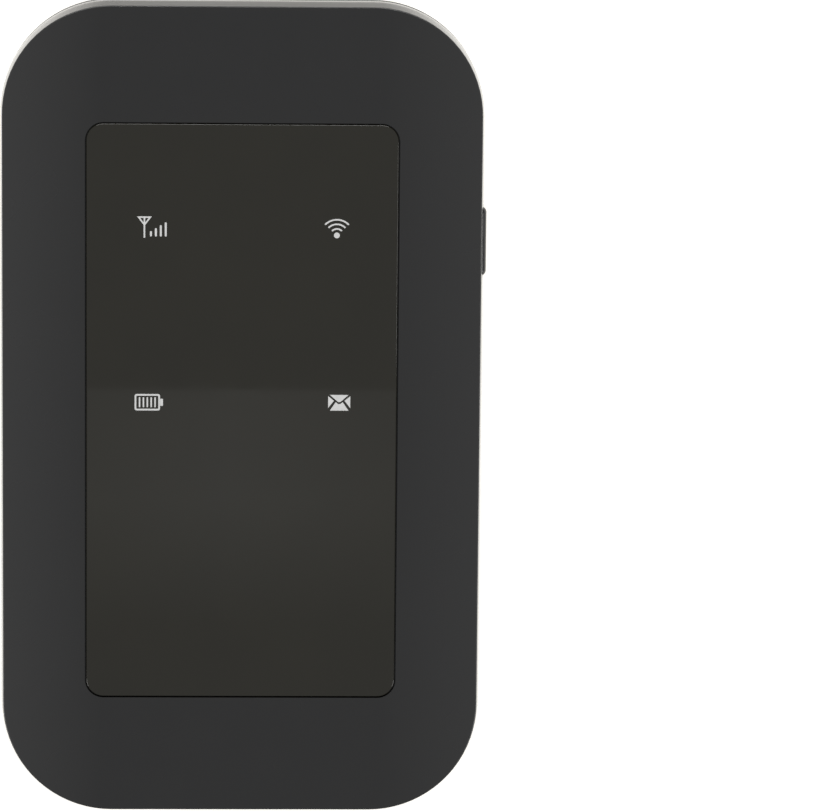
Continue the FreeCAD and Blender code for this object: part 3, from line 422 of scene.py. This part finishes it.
def blank_label(name):
    """A plain white polyester label."""
    surface = Surface(name, (0.74, 0.74, 0.72), 0.5)
    surface.mottle(8.0, 0.03)
    surface.grain(0.3, 0.001)
    return surface.done()


def battery_cell(name):
    """Aluminium cell in a dark film."""
    surface = Surface(name, (0.10, 0.105, 0.115), 0.4, metallic=0.3)
    surface.mottle(5.0, 0.1)
    surface.grain(0.9, 0.006)
    return surface.done()


BANDS = ((-38.0, 2.2), (-33.5, 0.5))  # millimetres: the middle along Y and half the width of each
BAND_COLOUR = (0.22, 0.25, 0.29, 1.0)


def battery_label(name):
    """Dark wrap with two plain lighter bands across it."""
    surface = Surface(name, (0.030, 0.034, 0.042), 0.36)
    surface.mottle(4.0, 0.08)
    along = surface.axis("Y")
    for middle, half_width in BANDS:
        distance = surface.maths("ABSOLUTE", surface.maths("SUBTRACT", along, middle))
        band = surface.maths("LESS_THAN", distance, half_width)
        surface.colour = surface.mix(band, surface.colour, BAND_COLOUR)
    surface.grain(0.8, 0.002)
    return surface.done()


# Each function is named after the slot that it makes the material for.
MAKERS = (
    front_shell, rear_shell, smoked_window, adhesive_foam, white_diffuser, black_plastic, led_body,
    black_screw, plated_screw, circuit_board, shield_steel, chip_epoxy, capacitor_ceramic,
    inductor_ferrite, tantalum_epoxy, thermal_silicone, plated_steel, gold_contact, socket_plastic,
    antenna_copper, blank_label, battery_cell, battery_cap, battery_label, key_plastic,
    switch_plunger,
)


def dress_nodes():
    """Gives every CAD node the material of its slot, and returns the materials by slot."""
    made = {maker.__name__: maker(maker.__name__) for maker in MAKERS}
    for part in frame["record"]["subparts"]:
        mesh = frame["nodes"][part["node"]].data
        mesh.materials.clear()
        mesh.materials.append(made[part["material_slot"]])
    return made


# --- Pictograms ----------------------------------------------------------------------------------

PRINT_THICKNESS = 0.012 * MM
PRINT_SINK = 0.004 * MM  # how far the print reaches into the window
ROUND_STEPS = 12  # in a stroke's round end
BAR_COUNT = 4
CHARGE_COUNT = 5
window_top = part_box("display_window")[1].z


def turned(angle, length):
    """The point at that angle, in degrees, and length from the origin."""
    return Vector((math.cos(math.radians(angle)), math.sin(math.radians(angle)))) * length


def arc_points(centre, radius, start, end, steps=ROUND_STEPS):
    """Points along an arc, with its angles in degrees."""
    centre = Vector(centre)
    return [centre + turned(start + (end - start) * i / steps, radius) for i in range(steps + 1)]


def stroke(start, end, width):
    """The outline of a straight stroke with round ends."""
    start, end = Vector(start), Vector(end)
    heading = math.degrees(math.atan2(end.y - start.y, end.x - start.x))
    first = arc_points(start, width / 2, heading + 90, heading + 270)
    return first + arc_points(end, width / 2, heading - 90, heading + 90)


def arc_stroke(centre, radius, width, start, end):
    """The outline of a curved stroke with square ends."""
    outer = arc_points(centre, radius + width / 2, start, end, 2 * ROUND_STEPS)
    return outer + arc_points(centre, radius - width / 2, end, start, 2 * ROUND_STEPS)


def rounded_box(centre, width, height, radius):
    """The outline of a rectangle with round corners."""
    centre = Vector(centre)
    points = []
    for corner, (side_x, side_y) in enumerate(((1, 1), (-1, 1), (-1, -1), (1, -1))):
        middle = centre + Vector((side_x * (width / 2 - radius), side_y * (height / 2 - radius)))
        points += arc_points(middle, radius, 90 * corner, 90 * corner + 90, ROUND_STEPS // 2)
    return points


def printed(name, origin, outlines, material):
    """Thin flat print on the window.

    The outlines are in millimetres from the origin, and one inside another is a hole.
    """
    curve = bpy.data.curves.new(name, "CURVE")
    curve.dimensions = "2D"
    curve.fill_mode = "BOTH"
    curve.extrude = PRINT_THICKNESS / 2
    for outline in outlines:
        spline = curve.splines.new("POLY")
        spline.points.add(len(outline) - 1)
        spline.use_cyclic_u = True
        for point, place in zip(spline.points, outline):
            point.co = (place[0] * MM, place[1] * MM, 0, 1)
    shape = bpy.data.objects.new(name, curve)
    mesh = bpy.data.meshes.new_from_object(shape)
    mesh.name = name
    bpy.data.objects.remove(shape)
    mesh.materials.clear()
    mesh.materials.append(material)
    height = window_top + PRINT_THICKNESS / 2 - PRINT_SINK
    mesh.transform(Matrix.Translation((origin[0] * MM, origin[1] * MM, height)))
    piece = bpy.data.objects.new(name, mesh)
    bpy.context.scene.collection.objects.link(piece)
    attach(piece, "main_unit")


def shifted(outlines, x, y):
    """The outlines, moved."""
    return [[(place[0] + x, place[1] + y) for place in outline] for outline in outlines]


def signal_outlines():
    """An aerial, as one outline with two holes, and four bars of rising height."""
    width, height = 4.7, 3.4
    stem, line = 0.13, 0.24  # half the stem's thickness, and the thickness of the triangle's lines
    left, right, top = 0.0, 2.3, height - 0.04
    middle = (left + right) / 2
    apex = 1.84
    slope = (top - apex) / (middle - left)
    meet = apex + slope * stem
    inner_top = top - line
    inner_left = left + line * (1 + math.hypot(1, slope)) / slope
    inner_low = inner_top - slope * (middle - stem - inner_left)
    aerial = [
        (left, top), (middle - stem, meet), (middle - stem, 0.0),
        (middle + stem, 0.0), (middle + stem, meet), (right, top),
    ]
    hole = [(inner_left, inner_top), (middle - stem, inner_top), (middle - stem, inner_low)]
    mirrored = [(2 * middle - x, y) for x, y in hole]
    bar_width, first, pitch = 0.32, 2.17, 0.77
    foot, shortest, rise = 0.2 + bar_width / 2, 0.9, 0.46
    bars = []
    for place in range(BAR_COUNT):
        x = first + place * pitch
        bars.append(stroke((x, foot), (x, shortest + place * rise), bar_width))
    return shifted([aerial, hole, mirrored, *bars], -width / 2, -height / 2)


def wireless_outlines():
    """A dot under three arcs, a little wider than they are tall."""
    line, start, end, widening = 0.25, 43, 137, 1.03
    radii, dot_radius, half_height = (1.02, 1.75, 2.46), 0.46, 1.17
    arcs = [arc_stroke((0, 0), radius, line, start, end) for radius in radii]
    widened = [[(widening * place[0], place[1]) for place in arc] for arc in arcs]
    dot = arc_points((0, 0), dot_radius, 0, 360, 2 * ROUND_STEPS)[:-1]
    return shifted([dot, *widened], 0, -half_height)


def battery_outlines():
    """A cell outline with its terminal and five charge bars."""
    width, height, line = 4.0, 2.62, 0.28
    case_corner, hole_corner, terminal_corner, bar_corner = 0.34, 0.1, 0.12, 0.05
    terminal_width, terminal_height, parting = 0.44, 1.15, 0.02
    bar_width, bar_height, pitch = 0.24, 1.58, 0.61
    to_middle = 0.26  # the terminal makes the whole longer on one side
    case = rounded_box((0, 0), width, height, case_corner)
    hole = rounded_box((0, 0), width - 2 * line, height - 2 * line, hole_corner)
    beyond = (width + terminal_width) / 2 + parting
    terminal = rounded_box((beyond, 0), terminal_width, terminal_height, terminal_corner)
    bars = []
    for place in range(CHARGE_COUNT):
        x = (place - CHARGE_COUNT // 2) * pitch
        bars.append(rounded_box((x, 0), bar_width, bar_height, bar_corner))
    return shifted([case, hole, terminal, *bars], -to_middle, 0)


def envelope_outlines():
    """A letter: a flap, two sides and a front, parted by thin gaps."""
    half_width, half_height = 1.74, 1.25
    gap = 0.27  # thickness of the parting lines
    tip_half_width, tip = 0.18, 0.12
    knee, knee_height = 0.62, 0.32
    flap = [
        (-half_width + gap, half_height), (-tip_half_width, tip),
        (tip_half_width, tip), (half_width - gap, half_height),
    ]
    side = [
        (half_width, half_height - 0.7 * gap), (half_width, -half_height + 1.5 * gap),
        (knee + 0.8 * gap, knee_height),
    ]
    other = [(-x, y) for x, y in side]
    front = [
        (-half_width + gap, -half_height), (half_width - gap, -half_height),
        (knee - 0.3 * gap, knee_height - 0.8 * gap), (tip_half_width, tip - 1.2 * gap),
        (-tip_half_width, tip - 1.2 * gap), (-knee + 0.3 * gap, knee_height - 0.8 * gap),
    ]
    return [flap, side, other, front]


PICTOGRAMS = (  # name, place in millimetres over its own light, and outlines
    ("pictogram_signal", (-14.1, 29.3), signal_outlines),
    ("pictogram_wireless", (14.8, 29.3), wireless_outlines),
    ("pictogram_battery", (-14.54, 1.6), battery_outlines),
    ("pictogram_message", (15.35, 1.64), envelope_outlines),
)


def make_pictograms(material):
    """The four pictograms on the window."""
    for name, origin, outlines in PICTOGRAMS:
        printed(name, origin, outlines(), material)


# --- Studio --------------------------------------------------------------------------------------

FLOOR_COLOUR = (0.85, 0.83, 0.79)
FLOOR_GLOW_COLOUR = (1.0, 0.975, 0.92, 1.0)
FLOOR_GLOW = 0.56
FLOOR_HALF = 3.0  # metres
FLOOR_GAP = 0.05 * MM  # between the floor and the lowest face


def make_floor():
    """A pale light table that the device lies on."""
    surface = Surface("floor_paper", FLOOR_COLOUR, 0.9)
    surface.mottle(60.0, 0.01)
    surface.shader.inputs["Emission Color"].default_value = FLOOR_GLOW_COLOUR
    surface.shader.inputs["Emission Strength"].default_value = FLOOR_GLOW
    mesh = bpy.data.meshes.new("floor")
    corners = [
        (side_x * FLOOR_HALF, side_y * FLOOR_HALF, 0)
        for side_x, side_y in ((-1, -1), (1, -1), (1, 1), (-1, 1))
    ]
    mesh.from_pydata(corners, [], [(0, 1, 2, 3)])
    mesh.materials.append(surface.done())
    floor = bpy.data.objects.new("floor", mesh)
    bpy.context.scene.collection.objects.link(floor)
    floor.location.z = cad_bounds[0].z - FLOOR_GAP


# A heading is one coordinate of the unit vector that points at a spot of the sky.
SKY_COLOUR = (0.99, 0.995, 1.0, 1.0)
SKY_LEVEL = 0.56
HORIZON_GAIN = 0.48
HORIZON_FADE = (0.1, 0.26)  # headings along Z between which the bright horizon fades out
OVERHEAD_GAIN = 0.27
OVERHEAD_END = -0.190  # heading along Y where the overhead box has faded out
OVERHEAD_PEAK = -0.166  # where it is brightest
OVERHEAD_EDGE = -0.1442  # where it ends sharply
OVERHEAD_EDGE_SHARE = 0.85  # how much of its brightness is left at that edge
OVERHEAD_EDGE_BLUR = 0.0005
OVERHEAD_REACH = 0.08  # heading along X where it has faded out
OVERHEAD_RISE = (0.0, 0.1)  # headings along Z between which it sets in


def make_sky():
    """An even pale surround, a white horizon, and a soft box overhead with one sharp edge."""
    world = bpy.data.worlds.new("studio")
    world.use_nodes = True
    sky = Graph(world.node_tree)
    background = sky.tree.nodes["Background"]
    background.inputs["Color"].default_value = SKY_COLOUR
    heading = sky.node("ShaderNodeSeparateXYZ")
    sky.link(sky.node("ShaderNodeTexCoord").outputs["Generated"], heading.inputs["Vector"])
    x, y, z = (heading.outputs[name] for name in "XYZ")
    rise = sky.spread(y, 0.0, 1.0, OVERHEAD_END, OVERHEAD_PEAK)
    fall = sky.spread(y, 1.0, OVERHEAD_EDGE_SHARE, OVERHEAD_PEAK, OVERHEAD_EDGE)
    stop = sky.spread(y, 1.0, 0.0, OVERHEAD_EDGE - OVERHEAD_EDGE_BLUR, OVERHEAD_EDGE)
    sides = sky.spread(sky.maths("ABSOLUTE", x), OVERHEAD_GAIN, 0.0, 0.0, OVERHEAD_REACH)
    above = sky.spread(z, 0.0, 1.0, *OVERHEAD_RISE)
    horizon = sky.spread(z, HORIZON_GAIN, 0.0, *HORIZON_FADE)
    along = sky.maths("MULTIPLY", rise, fall)
    box = sky.maths("MULTIPLY", along, sky.maths("MULTIPLY", stop, sides))
    level = sky.maths("ADD", sky.maths("MULTIPLY", box, above), horizon)
    sky.link(sky.maths("ADD", level, SKY_LEVEL), background.inputs["Strength"])
    bpy.context.scene.world = world


SOFT_BOXES = (  # name, place, width and length in metres, and watts
    ("left_box", (-0.75, -0.4, 0.5), 0.3, 0.3, 1.9),
    ("right_box", (0.75, -0.4, 0.5), 0.3, 0.3, 1.9),
    ("back_left_box", (-0.27, 0.8, 0.5), 0.3, 0.3, 1.9),
    ("back_right_box", (0.27, 0.8, 0.5), 0.3, 0.3, 1.9),
    ("top_edge_box", (0.0, 0.75, 0.5), 0.25, 0.1, 1.5),
)
KEY_BOX = ("key_box", (0.66, -0.07, 0.56), 0.08, 0.08, 0.25)


def soft_light(name, place, width, length, power, target):
    """A rectangular soft box that faces its target."""
    light = bpy.data.lights.new(name, "AREA")
    light.shape = "RECTANGLE"
    light.size = width
    light.size_y = length
    light.energy = power
    box = bpy.data.objects.new(name, light)
    bpy.context.scene.collection.objects.link(box)
    box.location = place
    box.rotation_euler = (target - Vector(place)).to_track_quat("-Z", "Y").to_euler()


def make_lights():
    """Soft boxes round the device and behind its top edge, and a small one for the power key."""
    for box in SOFT_BOXES:
        soft_light(*box, target=Vector((0.0, 0.0, 0.0)))
    key_low, key_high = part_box("power_button")
    soft_light(*KEY_BOX, target=(key_low + key_high) / 2)


bpy.context.scene.view_settings.view_transform = "Standard"
make_camera()
materials = dress_nodes()
make_pictograms(materials["white_diffuser"])
make_floor()
make_sky()
make_lights()
